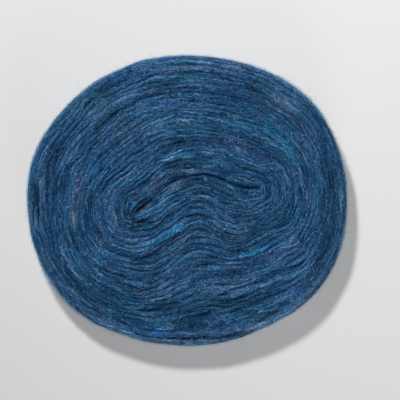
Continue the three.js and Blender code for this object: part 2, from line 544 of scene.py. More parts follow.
    def point(self, girth: Array, share: Array, lift: Array | float = 0.0) -> tuple[Array, Array]:
        """Returns points on the wool and the directions away from it.

        Args:
            girth: turns from the fold.
            share: how far along the turn.
            lift: how far the points lie above the surface.

        Returns:
            The points and their outward directions. None lies under the surface that the wheel rests on.
        """
        base, normal = self.base(girth, share)
        high = self.relief(girth, share) + self.marked(girth, base[..., 0], base[..., 1])
        pressed = np.where(self.roll(girth) > 0.75 * math.pi, self.flattened, 1.0)
        points = base + normal * (high * pressed + lift)[..., None]
        points[..., 2] = np.maximum(points[..., 2], RESTING)
        return points, normal

    def marked(self, girth: Array, x: Array, y: Array) -> Array:
        """Returns the height that the creases take away and the raised lengths add, on the top."""
        on_top = self.roll(girth) < math.pi / 3
        change = np.zeros(x.shape)
        for tinge in self.tinges:
            change[on_top] += tinge.lift * tinge.trace.strength(x[on_top], y[on_top])
        for crease in self.creases:
            change[on_top] -= crease.depth * crease.trace.strength(x[on_top], y[on_top])
        return change

    def spacing(self, girth: Array, share: Array) -> Array:
        """Returns the distance between neighbouring turns at each point."""
        step = 0.5
        low, _ = self.base(girth - step / 2, share)
        high, _ = self.base(girth + step / 2, share)
        return np.maximum(np.linalg.norm(high - low, axis=-1) / step, 0.5)


class Tone(Enum):
    """The dyed wools that are blended in the roving, each with its sRGB colour."""

    DENIM = "2e628c"
    NAVY = "18446e"
    TEAL = "266686"
    STEEL = "4e6e96"
    PLUM = "3c5a82"
    SKY = "2c7cb0"
    ROYAL = "1a5c9c"
    PALE = "748cab"
    SOOT = "0a2240"


@dataclass(frozen=True)
class Heather:
    """The heathered blend: which tone each fibre has, and how the blend drifts along the roving."""

    seed: int
    creases: tuple[Crease, ...]
    tinges: tuple[Tinge, ...]
    shares: tuple[tuple[Tone, float], ...] = (
        (Tone.DENIM, 0.38),
        (Tone.NAVY, 0.18),
        (Tone.TEAL, 0.10),
        (Tone.STEEL, 0.14),
        (Tone.PALE, 0.14),
        (Tone.PLUM, 0.05),
        (Tone.SKY, 0.03),
        (Tone.ROYAL, 0.03),
        (Tone.SOOT, 0.06),
    )
    drift: float = 0.8
    shade_range: float = 0.33
    # Painted shade: how much the creases' colour is darkened for each unit of their depth.
    painted_crease_shade: float = 0.3
    # Painted light: a lighter band along the rim, where the rim catches the light.
    painted_rim_light: float = 1.1
    rim_girth: float = 28.5
    rim_reach: float = 3.5

    def blend(self, girth: Array, share: Array) -> tuple[Array, Array]:
        """Returns how warm or teal, and how light or dark, the blend is at each place, each about -1 to 1.
        The lightness also holds a painted light: a lighter band along the rim.
        """
        strand = np.floor(girth - share) + share
        hue = Noise(self.seed).line(strand * 13.0) + Noise(self.seed + 1).ring(share, girth * 0.3, 13)
        shade = 1.2 * Noise(self.seed + 2).line(strand * 29.0)
        shade = shade + 0.5 * Noise(self.seed + 3).ring(share, girth * 0.4, 23)
        # The bell along the rim is painted light, added to the lightness.
        return hue / 1.4, shade / 1.3 + self.painted_rim_light * bell(girth - self.rim_girth, self.rim_reach)

    def marked(self, colours: Array, x: Array, y: Array, chance: Array | float = 0.0) -> Array:
        """Returns the colours with the tinted lengths, and with painted shade that darkens the creases.

        Args:
            colours: places by 3.
            x: places across the wheel.
            y: places up it.
            chance: random numbers that choose which fibres take a tint; 0 mixes the tint in evenly.
        """
        for tinge in self.tinges:
            held = tinge.share * tinge.trace.strength(x, y)
            taken = held if np.isscalar(chance) else 1.0 * (chance < held)
            colours = colours + (linear(tinge.colour) - colours) * taken[:, None]
        for crease in self.creases:
            # Painted shade: the wool's colour is darkened along each crease, by its depth.
            dark = self.painted_crease_shade * crease.depth * crease.trace.strength(x, y)
            colours = colours * (1 - np.minimum(dark, 0.8))[:, None]
        return colours

    def fibres(
        self, girth: Array, share: Array, place: Array, rng: np.random.Generator, contrast: float
    ) -> Array:
        """Returns a linear colour for each fibre, drawn from the blend at its place.

        Args:
            girth: turns from the fold.
            share: how far along the turn.
            place: the fibres' middles, by 3.
            rng: where the draws come from.
            contrast: 1 for single fibres, and less for bundles, in which the colours even out.
        """
        # The blend's lightness holds the painted light along the rim: the fibres there are lighter and more
        # often pale.
        hue, shade = self.blend(girth, share)
        likes = {
            Tone.TEAL: hue,
            Tone.SKY: 0.6 * hue + 0.6 * shade,
            Tone.STEEL: 0.8 * shade - 0.4 * hue,
            Tone.PALE: 0.8 * shade,
            Tone.PLUM: -hue,
            Tone.SOOT: -1.2 * shade,
            Tone.NAVY: -0.6 * shade,
        }
        even = np.zeros_like(hue)
        weights = np.stack(
            [weight * np.exp(2 * self.drift * likes.get(tone, even)) for tone, weight in self.shares]
        )
        chances = np.cumsum(weights / weights.sum(0), 0)
        picked = (rng.random(hue.shape) > chances).sum(0).clip(0, len(self.shares) - 1)
        colours = np.array([linear(tone.value) for tone, _ in self.shares])[picked]
        plain = linear(Tone.DENIM.value)
        lighter = 1 + self.shade_range * (contrast * rng.normal(0, 0.8, hue.shape) + 0.8 * shade)
        colours = plain + (colours - plain) * contrast
        chance = rng.random(hue.shape) if contrast > 0.5 else 0.0
        colours = self.marked(colours, place[:, 0], place[:, 1], chance)
        return colours * np.clip(lighter, 0.3, 1.65)[..., None]


@dataclass(frozen=True)
class Strands:
    """Tapered strands carried along paths, as whole arrays.

    Attributes:
        paths: strands by steps by 3, the middles of the rings.
        normals: the same shape, away from the wool.
        half_width: strands by steps, across the path and along the wool.
        half_height: strands by steps, away from the wool.
        colours: strands by 3.
    """

    paths: Array
    normals: Array
    half_width: Array
    half_height: Array
    colours: Array
    sides: int = 3

    def vertices(self) -> Array:
        """Returns each strand's rings and its two tips.

        A ring's point is the path's point, plus the sideways direction by the cosine and the outward one by
        the sine of its angle, each times its half size. The tips are the path's own ends.
        """
        ahead = np.gradient(self.paths, axis=1)
        ahead /= np.maximum(np.linalg.norm(ahead, axis=-1, keepdims=True), 1e-9)
        side = np.cross(ahead, self.normals)
        side /= np.maximum(np.linalg.norm(side, axis=-1, keepdims=True), 1e-9)
        out = np.cross(side, ahead)
        angle = (np.arange(self.sides) + 0.25) * FULL_TURN / self.sides
        rings = (
            self.paths[:, 1:-1, None]
            + side[:, 1:-1, None] * (self.half_width[:, 1:-1, None] * np.cos(angle))[..., None]
            + out[:, 1:-1, None] * (self.half_height[:, 1:-1, None] * np.sin(angle))[..., None]
        )
        count = len(self.paths)
        rings = rings.reshape(count, -1, 3)
        rings[..., 2] = np.maximum(rings[..., 2], RESTING)
        return np.concatenate([self.paths[:, :1], rings, self.paths[:, -1:]], 1)

    def template(self) -> tuple[Array, Array]:
        """Returns one strand's triangles, by its own vertex numbers, and each corner's place on a square."""
        rings = self.paths.shape[1] - 2
        tip = 1 + rings * self.sides
        first = np.arange(self.sides)
        after = (first + 1) % self.sides
        low, high = first / self.sides, (first + 1) / self.sides
        faces = [np.stack([np.zeros_like(first), 1 + after, 1 + first], -1)]
        spots = [self._spots([low, high, low], [0, 1, 1], rings)]
        for ring in range(rings - 1):
            near, far = 1 + ring * self.sides, 1 + (ring + 1) * self.sides
            faces.append(np.stack([near + first, near + after, far + after], -1))
            spots.append(self._spots([low, high, high], [ring + 1, ring + 1, ring + 2], rings))
            faces.append(np.stack([near + first, far + after, far + first], -1))
            spots.append(self._spots([low, high, low], [ring + 1, ring + 2, ring + 2], rings))
        last = 1 + (rings - 1) * self.sides
        faces.append(np.stack([last + first, last + after, np.full_like(first, tip)], -1))
        spots.append(self._spots([low, high, low], [rings, rings, rings + 1], rings))
        return np.concatenate(faces), np.concatenate(spots)

    @staticmethod
    def _spots(across: list[Array], along: list[int], rings: int) -> Array:
        """Returns the corners of a row of triangles on a unit square: across the strand by along it."""
        corners = [np.stack([np.full(len(u), v / (rings + 1)), u], -1) for u, v in zip(across, along)]
        return np.stack(corners, 1)

    def streak_path(self) -> Array:
        """Returns the path that the streaks follow: along each strand, across it, and a place of its own."""
        run = np.linalg.norm(np.diff(self.paths, axis=1), axis=-1).cumsum(1)
        run = np.pad(run, ((0, 0), (1, 0)))
        angle = (np.arange(self.sides) + 0.25) * FULL_TURN / self.sides
        ring = np.repeat(run[:, 1:-1], self.sides, 1)
        across = (self.half_width[:, 1:-1, None] * (np.cos(angle) + np.sin(angle))).reshape(len(run), -1)
        along = np.concatenate([run[:, :1], ring, run[:, -1:]], 1) / STREAK_LENGTH
        across = np.pad(across, ((0, 0), (1, 1))) / STREAK_WIDTH
        own = np.broadcast_to(7.3 * np.arange(len(run))[:, None] % 997, along.shape)
        return np.stack([along + own, own, across], -1).reshape(-1, 3)

    def mesh(self, name: str) -> bpy.types.Object:
        """Makes the strands one mesh object, with their colours and a bake map that has a cell for each."""
        points = self.vertices()
        triangles, spots = self.template()
        count, per_strand = points.shape[:2]
        faces = (triangles[None] + (np.arange(count) * per_strand)[:, None, None]).reshape(-1, 3)
        across = math.ceil(math.sqrt(count))
        cell = np.stack([np.arange(count) % across, np.arange(count) // across], -1)
        margin = 0.12
        places = (cell[:, None, None] + margin + (1 - 2 * margin) * spots[None]) / across
        piece = mesh_object(name, points.reshape(-1, 3), faces)
        paint(piece, "tint", np.repeat(self.colours, per_strand, 0))
        carry(piece, self.streak_path())
        layer = piece.data.uv_layers.new(name=BAKE_MAP)
        layer.uv.foreach_set("vector", places.reshape(-1).astype(np.float32))
        return piece


def mesh_object(name: str, points: Array, faces: Array) -> bpy.types.Object:
    """Makes a smooth-shaded mesh object from whole arrays.

    Args:
        name: the piece's name.
        points: vertices by 3, in millimetres.
        faces: triangles by 3, vertex numbers anticlockwise from outside.

    Returns:
        The object, at the origin, linked to the scene.
    """
    mesh = bpy.data.meshes.new(name)
    mesh.vertices.add(len(points))
    mesh.vertices.foreach_set("co", (points * MM).astype(np.float32).reshape(-1))
    mesh.loops.add(faces.size)
    mesh.loops.foreach_set("vertex_index", faces.astype(np.int32).reshape(-1))
    mesh.polygons.add(len(faces))
    mesh.polygons.foreach_set("loop_start", np.arange(0, faces.size, 3, dtype=np.int32))
    mesh.polygons.foreach_set("use_smooth", np.ones(len(faces), bool))
    mesh.update(calc_edges=True)
    piece = bpy.data.objects.new(name, mesh)
    bpy.context.scene.collection.objects.link(piece)
    return piece


def paint(piece: bpy.types.Object, name: str, colours: Array) -> None:
    """Gives each vertex a colour under an attribute's name."""
    layer = piece.data.attributes.new(name, "FLOAT_COLOR", "POINT")
    full = np.concatenate([colours, np.ones((len(colours), 1))], 1)
    layer.data.foreach_set("color", full.astype(np.float32).reshape(-1))


def carry(piece: bpy.types.Object, paths: Array) -> None:
    """Gives each vertex its place on the path that the streaks follow."""
    layer = piece.data.attributes.new("strand_path", "FLOAT_VECTOR", "POINT")
    layer.data.foreach_set("vector", paths.astype(np.float32).reshape(-1))


class Shader:
    """A material's node tree, built one node at a time."""

    def __init__(self, name: str) -> None:
        """Starts a material with an output and a Principled shader."""
        self.material = bpy.data.materials.new(name)
        self.material.use_nodes = True
        self.tree = self.material.node_tree
        self.tree.nodes.clear()
        self.shader = self.add("ShaderNodeBsdfPrincipled")
        self.add("ShaderNodeOutputMaterial", Surface=self.shader.outputs[0])

    def add(self, kind: str, settings: dict | None = None, **inputs: object) -> bpy.types.Node:
        """Adds a node with its settings and inputs.

        Args:
            kind: the node's type.
            settings: the node's own properties.
            inputs: by socket name, with underscores for spaces; an output socket is linked, and anything else
                is set as the socket's value.

        Returns:
            The new node.
        """
        node = self.tree.nodes.new(kind)
        for key, value in (settings or {}).items():
            setattr(node, key, value)
        self.plug(node, **inputs)
        return node

    def plug(self, node: bpy.types.Node, **inputs: object) -> None:
        """Links or sets a node's inputs, as add does. A name such as A_1 picks the second socket called A."""
        for key, value in inputs.items():
            label, _, number = key.rpartition("_")
            if number.isdigit():
                found = [s for s in node.inputs if s.name == label.replace("_", " ") and s.enabled]
                socket = found[int(number)]
            else:
                socket = next(s for s in node.inputs if s.name == key.replace("_", " ") and s.enabled)
            if isinstance(value, bpy.types.NodeSocket):
                self.tree.links.new(value, socket)
            else:
                socket.default_value = value

    def remap(
        self, value: bpy.types.NodeSocket, low: float, high: float, to_low: float, to_high: float
    ) -> bpy.types.NodeSocket:
        """Adds a node that maps one range of a value onto another, and returns its output."""
        ends = dict(From_Min=low, From_Max=high, To_Min=to_low, To_Max=to_high)
        return self.add("ShaderNodeMapRange", Value=value, **ends).outputs[0]

    def product(self, first: bpy.types.NodeSocket, second: bpy.types.NodeSocket) -> bpy.types.NodeSocket:
        """Adds a node that multiplies two values, and returns its output."""
        return self.add("ShaderNodeMath", {"operation": "MULTIPLY"}, Value_0=first, Value_1=second).outputs[0]

    def scaled(self, vector: object, factor: bpy.types.NodeSocket) -> bpy.types.NodeSocket:
        """Adds a node that multiplies a colour by a value, and returns its output."""
        node = self.add("ShaderNodeVectorMath", {"operation": "SCALE"}, Vector=vector, Scale=factor)
        return node.outputs[0]


@dataclass(frozen=True)
class CardedWool:
    """Dyed wool, carded into a loose roving and never spun.

    Wool fibres are matt, rough cylinders of keratin with an IOR of about 1.55. They give the eye a soft,
    dull surface with a faint pale sheen at its edges, in flecks of several dyed colours along the fibre.
    """

    name: str
    roughness: float = 0.65
    ior: float = 1.55
    specular: float = 0.035
    sheen: float = 0.25
    sheen_roughness: float = 0.4
    sheen_tint: str = "86b8e4"
    curl_size: float = 3.0
    sway: float = 2.0
    grain_size: float = 1.1
    grain_contrast: float = 0.45
    streak_contrast: float = 0.75
    patch_contrast: float = 0.3
    streak_height: float = 0.3
    bump_strength: float = 0.8
    noise_range: tuple[float, float] = (0.3, 0.7)  # the values that the noise mostly takes

    def make(self) -> bpy.types.Material:
        """Builds the material. Its streaks follow the path that each piece carries, and sway aside."""
        build = Shader(self.name)
        tint = build.add("ShaderNodeAttribute", {"attribute_name": "tint"})
        straight = build.add("ShaderNodeAttribute", {"attribute_name": "strand_path"})
        place = build.add("ShaderNodeTexCoord").outputs["Object"]
        curl = build.add("ShaderNodeTexNoise", Vector=place, Scale=1 / (self.curl_size * MM), Detail=1.0)
        sway = build.remap(curl.outputs["Fac"], *self.noise_range, -self.sway, self.sway)
        aside = build.add("ShaderNodeCombineXYZ", Z=sway)
        path = build.add(
            "ShaderNodeVectorMath",
            {"operation": "ADD"},
            Vector_0=straight.outputs["Vector"],
            Vector_1=aside.outputs[0],
        ).outputs[0]
        fine = build.add("ShaderNodeTexNoise", Vector=path, Scale=1.0, Detail=3.0, Roughness=0.6)
        broad = build.add("ShaderNodeTexNoise", Vector=path, Scale=0.31, Detail=2.0, Roughness=0.5)
        grain = build.add("ShaderNodeTexNoise", Vector=place, Scale=1 / (self.grain_size * MM), Detail=1.0)
        shades = [
            build.remap(noise.outputs["Fac"], *self.noise_range, 1 - contrast, 1 + contrast)
            for noise, contrast in (
                (fine, self.streak_contrast),
                (broad, self.patch_contrast),
                (grain, self.grain_contrast),
            )
        ]
        shade = build.product(build.product(shades[0], shades[1]), shades[2])
        bump = build.add(
            "ShaderNodeBump",
            Height=fine.outputs["Fac"],
            Strength=self.bump_strength,
            Distance=self.streak_height * MM,
        )
        colour = build.scaled(tint.outputs["Color"], shade)
        build.plug(
            build.shader,
            Base_Color=colour,
            Roughness=self.roughness,
            IOR=self.ior,
            Specular_IOR_Level=self.specular,
            Sheen_Weight=self.sheen,
            Sheen_Roughness=self.sheen_roughness,
            Sheen_Tint=(*linear(self.sheen_tint), 1.0),
            Normal=bump.outputs["Normal"],
        )
        return build.material


def fit(piece: bpy.types.Object, material: bpy.types.Material, replaces: str | None = None) -> None:
    """Dresses a finished piece and hangs it on the wheel's body."""
    piece.data.materials.append(material)
    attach(piece, BODY)
    if replaces:
        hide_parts(replaces)
    LOG.info("%s: %d triangles", piece.name, len(piece.data.polygons))


@dataclass(frozen=True)
class WoundBody:
    """The wheel's closed skin: one spiral sheet from the fold on the top to the fold on the underside."""

    skin: Skin
    heather: Heather
    columns: int = 278
    rows_a_turn: int = 6
    floor_depth: float = 0.002
    fold_depth: float = 9.0
    lip_depth: float = 0.8  # the fold's floor lies at least this much below its lip
    roof: float = 2.0  # the fold below is shut this much above the underside
    taper: float = 1.5
    turn_width: float = 3.6
    plain: str = "1b4570"
    teal: str = "1a4d6e"
    plum: str = "24426c"
    tint_level: float = 0.9
    tint_range: float = 0.28

    def _grid(self) -> tuple[Array, Array, Array]:
        """Returns the girth, the share and the width of the turn at each row and column.

        A row moves out by one turn in one lap. The first turn widens from nothing, and the last one narrows
        to nothing.
        """
        rows = np.arange(self.rows_a_turn * (self.skin.turns + 1) + 1) / self.rows_a_turn
        in_turn, share = np.meshgrid(rows, np.arange(self.columns) / self.columns, indexing="ij")
        last = self.skin.turns
        girth = np.where(
            in_turn <= 1,
            share * in_turn,
            np.where(in_turn <= last, share + in_turn - 1, last - (1 - share) * (1 - (in_turn - last))),
        )
        width = np.where(in_turn <= 1, share, np.where(in_turn <= last, 1.0, 1 - share))
        return girth, share, width

    def _faces(self, lip: int, rows: int) -> Array:
        """Returns the spiral's triangles, with the fold sewn up at both ends.

        Args:
            lip: how many vertices come before the spiral's first row, which is the floor on the top.
            rows: how many rows the spiral has.
        """
        columns, shift = self.columns, self.rows_a_turn
        number = lip + np.arange(rows * columns).reshape(rows, columns)
        number[: shift + 1, 0] = number[0, 0]  # the first turn starts as a point
        after = np.empty_like(number)
        after[:, :-1] = number[:, 1:]
        after[:, -1] = number[np.minimum(np.arange(rows) + shift, rows - 1), 0]
        floor = np.arange(columns)
        under = number[-1, -1] + 1 + np.arange(columns)
        quads = [
            np.stack([floor, number[0], after[0], np.roll(floor, -1)], -1),
            np.stack([number[:-1], number[1:], after[1:], after[:-1]], -1).reshape(-1, 4),
            np.stack([number[-1], under, np.roll(under, -1), after[-1]], -1),
        ]
        step = np.arange(columns // 2)
        mirrored = (columns - step) % columns
        quads.append(np.stack([floor[mirrored], floor[step], floor[step + 1], floor[columns - step - 1]], -1))
        quads.append(np.stack([under[columns - step - 1], under[step + 1], under[step], under[mirrored]], -1))
        corners = np.concatenate(quads)
        return np.concatenate([corners[:, [0, 1, 2]], corners[:, [0, 2, 3]]])

    def build(self) -> bpy.types.Object:
        """Makes the skin, its tint and the path that its streaks follow."""
        girth, share, width = self._grid()
        points, _ = self.skin.point(girth, share)
        low, _ = self.skin.base(girth, share)
        held = np.minimum(1, width * self.taper)[..., None]
        points = low + (points - low) * held
        lap = np.arange(self.columns) / self.columns
        x, y = self.skin.winding.place(np.full(self.columns, self.floor_depth), lap)
        top = points[0, :, 2]
        floor = np.stack([x, y, top - self.lip_depth - self.fold_depth * self.skin.slit(lap)], -1)
        roof = np.stack([x, y, points[-1, :, 2] + self.roof], -1)
        everything = np.concatenate([floor, points.reshape(-1, 3), roof])
        faces = self._faces(self.columns, len(girth))
        whole = (faces[:, 0] != faces[:, 1]) & (faces[:, 1] != faces[:, 2]) & (faces[:, 0] != faces[:, 2])
        faces = faces[whole]
        used = np.zeros(len(everything), bool)
        used[faces] = True
        renumber = np.cumsum(used) - 1
        piece = mesh_object("roving_body", everything[used], renumber[faces])
        ends = np.zeros(self.columns)
        girths = np.concatenate([ends, girth.reshape(-1), ends + self.skin.turns])[used]
        shares = np.concatenate([lap, share.reshape(-1), lap])[used]
        self._dress(piece, girths, shares, everything[used])
        return piece

    def _dress(self, piece: bpy.types.Object, girth: Array, share: Array, points: Array) -> None:
        """Paints the blend's slow drift, with the painted light along the rim and the painted shade in the
        creases, and stores the path that the streaks follow.

        The path is a point on a circle of the turn's own length, with the distance across the turns as its
        height. Streaks are stretched along it by measuring round the circle in long steps.
        """
        hue, shade = self.heather.blend(girth, share)
        plain, teal, plum = linear(self.plain), linear(self.teal), linear(self.plum)
        aside = np.clip(hue, -1, 1)[:, None]
        colour = plain + (teal - plain) * np.maximum(aside, 0) + (plum - plain) * np.maximum(-aside, 0)
        colour = self.heather.marked(colour, points[:, 0], points[:, 1])
        paint(piece, "tint", colour * (self.tint_level + self.tint_range * shade[:, None]))
        radius = self.skin.winding.length(self.skin.depth(girth)) / FULL_TURN / STREAK_LENGTH
        across = girth * self.turn_width / STREAK_WIDTH
        angle = FULL_TURN * share
        carry(piece, np.stack([radius * np.cos(angle), radius * np.sin(angle), across], -1))


def spread(
    skin: Skin, count: int, zone: tuple[float, float], rng: np.random.Generator, on_ridges: float = 0.0
) -> tuple[Array, Array]:
    """Draws places evenly over a zone of the wool.

    Args:
        skin: the wound surface.
        count: how many places.
        zone: the lowest and the highest girth.
        rng: where the draws come from.
        on_ridges: the share of the places that lie on the turns' ridges, away from the grooves.

    Returns:
        The girth and the share of each place.
    """
    girth = rng.uniform(*zone, count * 6)
    share = rng.random(count * 6)
    room = skin.spacing(girth, share) * skin.winding.length(skin.depth(girth))
    kept = np.flatnonzero(rng.random(count * 6) * room.max() < room)[:count]
    girth, share = girth[kept], share[kept]
    part = (girth - share) - np.floor(girth - share)
    moved = np.where(rng.random(len(kept)) < on_ridges, 0.2 + 0.6 * part - part, 0)
    return girth + moved, share


@dataclass(frozen=True)
class LooseWool:
    """Bundles or single fibres that lie along the turns, in one piece.

    Attributes:
        name: the piece's name.
        count: strands.
        zone: the lowest and the highest girth that they start from.
        length: shortest and longest.
        half_width: thinnest and thickest.
        thickness: half height over half width.
        lift: lowest and highest, over the wool.
        tilt: how far they turn from the turns, in radians, as a spread.
        crimp: how far they swing from side to side.
        contrast: how much their colours differ.
        on_ridges: the share of them that keep to the turns' ridges.
        steps: points along each path.
        sides: sides of the section.
    """

    skin: Skin
    heather: Heather
    name: str
    seed: int
    count: int
    zone: tuple[float, float]
    length: tuple[float, float]
    half_width: tuple[float, float]
    thickness: float
    lift: tuple[float, float]
    tilt: float
    crimp: float
    steps: int
    sides: int
    contrast: float
    on_ridges: float
    sink: float = 0.3

    def build(self) -> bpy.types.Object:
        """Makes the strands: each follows its turn for its length, turned a little aside, with a slight wave,
        and its two ends dip into the wool."""
        rng = np.random.default_rng(self.seed)
        girth, share = spread(self.skin, self.count, self.zone, rng, self.on_ridges)
        count = len(girth)
        along = np.linspace(-0.5, 0.5, self.steps)[None]
        long = rng.uniform(*self.length, count)[:, None]
        lap = self.skin.winding.length(self.skin.depth(girth))[:, None]
        room = self.skin.spacing(girth, share)[:, None]
        turned = np.clip(rng.normal(0, self.tilt, count), -1, 1)[:, None]
        aside = np.sin(turned) * long * along
        waves, start = rng.uniform(0.5, 1.6, count)[:, None], rng.uniform(0, FULL_TURN, count)[:, None]
        swing = self.crimp * rng.normal(0, 1, count)[:, None] * np.sin(FULL_TURN * waves * along + start)
        moved = np.cos(turned) * long / lap * along
        path_share = share[:, None] + moved
        path_girth = girth[:, None] + moved + (aside + swing) / room
        path_girth = np.clip(path_girth, 0.05, self.skin.turns - 0.05)
        ends = (2 * np.abs(along)) ** 6
        lift = rng.uniform(*self.lift, count)[:, None] * (1 - ends) - self.sink * ends
        paths, normals = self.skin.point(path_girth, path_share, lift)
        taper = (1 - (2 * np.abs(along)) ** 3) ** 0.5
        wide = rng.uniform(*self.half_width, count)[:, None] * taper
        strands = Strands(
            paths,
            normals,
            wide,
            wide * self.thickness,
            self.heather.fibres(girth, share, paths[:, self.steps // 2], rng, self.contrast),
            self.sides,
        )
        return strands.mesh(self.name)


@dataclass(frozen=True)
class Flyaways:
    """Fine fibres that stand out from the rim and curl away from it.

    Attributes:
        name: the piece's name.
        count: fibres.
        length: shortest and longest.
        half_width: of each fibre.
        bend: how far each one curls over its length, in radians, as a spread.
        droop: how far it sinks over its length, as a share of the length.
        steps: points along each fibre.
        painted_lit_colour: painted light, the colour that a fibre is given for the light in it.
        painted_light_share: how much of that painted colour the fibres take.
        painted_backlit_colour: a painted glow, the colour on the side away from the light, where it shines
            through the fibres.
        light_from: where the light comes from, seen from above, which sets the side with the painted glow.
    """

    skin: Skin
    heather: Heather
    name: str
    seed: int
    count: int
    length: tuple[float, float]
    half_width: float
    bend: float
    droop: float
    steps: int
    painted_lit_colour: str
    painted_light_share: float
    painted_backlit_colour: str = "b8dcf2"
    light_from: tuple[float, float] = (-0.39, 0.92)
    lowest: float = 0.25
    highest: float = 0.6
    fuzzier: float = 0.5
    fuzzier_at: float = math.radians(42)
    fuzzier_spread: float = math.radians(24)

    def build(self) -> bpy.types.Object:
        """Makes the fibres: each leaves the wool aslant and curls in an arc, in which its direction turns
        evenly from step to step."""
        rng = np.random.default_rng(self.seed)
        skin = self.skin
        zone = [skin.face_turns + skin.rim_turns * share for share in (self.lowest, self.highest)]
        girth, share = spread(skin, self.count, zone, rng)
        count = len(girth)
        root, _ = skin.point(girth, share)
        away = root * [1, 1, 0] / np.linalg.norm(root[:, :2], axis=-1)[:, None]
        forward = np.cross(away, [0, 0, 1]) * rng.choice([-1.0, 1.0], count)[:, None]
        long = rng.uniform(*self.length, count)
        around = np.arctan2(root[:, 1], root[:, 0])
        long *= 1 + self.fuzzier * bell(around - self.fuzzier_at, self.fuzzier_spread)
        along = np.linspace(0, 1, self.steps)[None]
        start = rng.uniform(0.1, 1.3, count)[:, None]
        heading = start + rng.normal(0, self.bend, count)[:, None] * (along[:, 1:] - 0.5 / (self.steps - 1))
        step = (long / (self.steps - 1))[:, None, None]
        moves = np.cos(heading)[..., None] * away[:, None] + np.sin(heading)[..., None] * forward[:, None]
        run = np.pad(np.cumsum(moves * step, 1), ((0, 0), (1, 0), (0, 0)))
        rise = rng.uniform(-0.2, 0.4, count)[:, None] * along - self.droop * along**2
        paths = root[:, None] + run
        paths[..., 2] = np.maximum(paths[..., 2] + rise * long[:, None], 0.1)
        wide = self.half_width * (1 - 0.6 * along) * np.ones((count, 1))
        normals = np.broadcast_to(np.array([0, 0, 1.0]), paths.shape)
        colours = self.heather.fibres(girth, share, root, rng, 1.0)
        # Painted light: each fibre takes a pale colour for light in it, paler still on the side away from the
        # light, a painted glow.
        behind = np.clip(-away[:, :2] @ np.array(self.light_from), 0, 1)[:, None]
        lit = linear(self.painted_lit_colour) * (1 - behind) + linear(self.painted_backlit_colour) * behind
        colours += (lit - colours) * self.painted_light_share
        return Strands(paths, normals, wide, wide, colours, 3).mesh(self.name)


@dataclass(frozen=True)
class Studio:
    """The pale floor, the soft light from above the picture, and the camera that looks straight down."""

    camera_height: float = 1300.0
    floor_size: float = 6000.0
    floor_colour: str = "eeedec"
    # Painted light: the floor's colour runs between these, lighter towards the side given below.
    painted_floor_light: tuple[float, float] = (0.87, 1.09)
    painted_light_towards: tuple[float, float, float] = (1.0, 0.35, 0.0)
    key_direction: tuple[float, float, float] = (-0.24, 0.563, 0.79)
    key_distance: float = 1200.0
    key_size: float = 145.0
    key_power: float = 9.0
    fill_place: tuple[float, float, float] = (100.0, 0.0, 3000.0)
    fill_size: float = 500.0
    fill_power: float = 26.0
    card_place: tuple[float, float, float] = (250.0, -1100.0, 300.0)
    card_size: float = 500.0
    card_power: float = 3.4
    sky: float = 0.05

    def build(self, top: float) -> None:
        """Makes the floor, the lights and the camera.

        Args:
            top: the height of the wheel's top, where a pixel has its stated size.
        """
        self._floor()
        self._lights()
        self._camera(top)

    def _floor(self) -> None:
        """Makes the pale floor: painted board, matt, its colour lighter towards the right and a little
        towards the top and darker towards the lower left, as painted light.
        """
        half = self.floor_size / 2
        corners = np.array([[-half, -half, 0], [half, -half, 0], [half, half, 0], [-half, half, 0.0]])
        floor = mesh_object("floor", corners, np.array([[0, 1, 2], [0, 2, 3]]))
        build = Shader("painted_board")
        place = build.add("ShaderNodeTexCoord").outputs["Object"]
        across = build.add(
            "ShaderNodeVectorMath", {"operation": "DOT_PRODUCT"}, Vector_0=place, Vector_1=self.painted_light_towards
        )
        half_view = 0.2  # metres from the middle to where the painted light stops changing
        shade = build.remap(across.outputs["Value"], -half_view, half_view, *self.painted_floor_light)
        pale = build.scaled(tuple(linear(self.floor_colour)), shade)
        build.plug(build.shader, Base_Color=pale, Roughness=0.9, Specular_IOR_Level=0.1)
        floor.data.materials.append(build.material)

    def _lights(self) -> None:
        """Makes the soft key light, a broad fill from above, a card in front and the room's even light."""
        scene = bpy.context.scene
        key_place = Vector(self.key_direction).normalized() * self.key_distance
        self._lamp("key", key_place, self.key_size, self.key_power)
        self._lamp("fill", Vector(self.fill_place), self.fill_size, self.fill_power)
        self._lamp("card", Vector(self.card_place), self.card_size, self.card_power)
        world = bpy.data.worlds.new("room")
        world.use_nodes = True
        background = world.node_tree.nodes["Background"]
        background.inputs["Color"].default_value = (1, 1, 1, 1)
        background.inputs["Strength"].default_value = self.sky
        scene.world = world
        scene.view_settings.view_transform = "Standard"
        scene.view_settings.look = "None"

    def _lamp(self, name: str, place: Vector, size: float, power: float) -> None:
        """Makes a round, soft light at a place, turned to the wheel."""
        lamp = bpy.data.lights.new(name, "AREA")
        lamp.shape = "DISK"
        lamp.size = size * MM
        lamp.energy = power
        light = bpy.data.objects.new(name, lamp)
        light.location = place * MM
        light.rotation_euler = (-place).to_track_quat("-Z", "Y").to_euler()
        bpy.context.scene.collection.objects.link(light)

    def _camera(self, top: float) -> None:
        """Makes the camera. The picture's middle lies right of and below the wheel's middle."""
        data = bpy.data.cameras.new("camera")
        camera = bpy.data.objects.new("camera", data)
        wide = PIXELS * PIXEL
        x = (PIXELS / 2 - WHEEL_AT[0]) * PIXEL
        y = (WHEEL_AT[1] - PIXELS / 2) * PIXEL
        camera.location = (x * MM, y * MM, self.camera_height * MM)
        data.sensor_width = 36.0
        data.lens = data.sensor_width * (self.camera_height - top) / wide
        data.clip_start, data.clip_end = 0.05, 20.0
        bpy.context.scene.collection.objects.link(camera)
        bpy.context.scene.camera = camera


def crease(depth: float, half_width: float, *points: tuple[float, float]) -> Crease:
    """Returns a crease through points of the picture."""
    return Crease(Trace(points, half_width), depth)


def tinge(
    colour: str, share: float, lift: float, half_width: float, *points: tuple[float, float]
) -> Tinge:
    """Returns a tinted length of roving through points of the picture."""
    return Tinge(Trace(points, half_width), colour, share, lift)
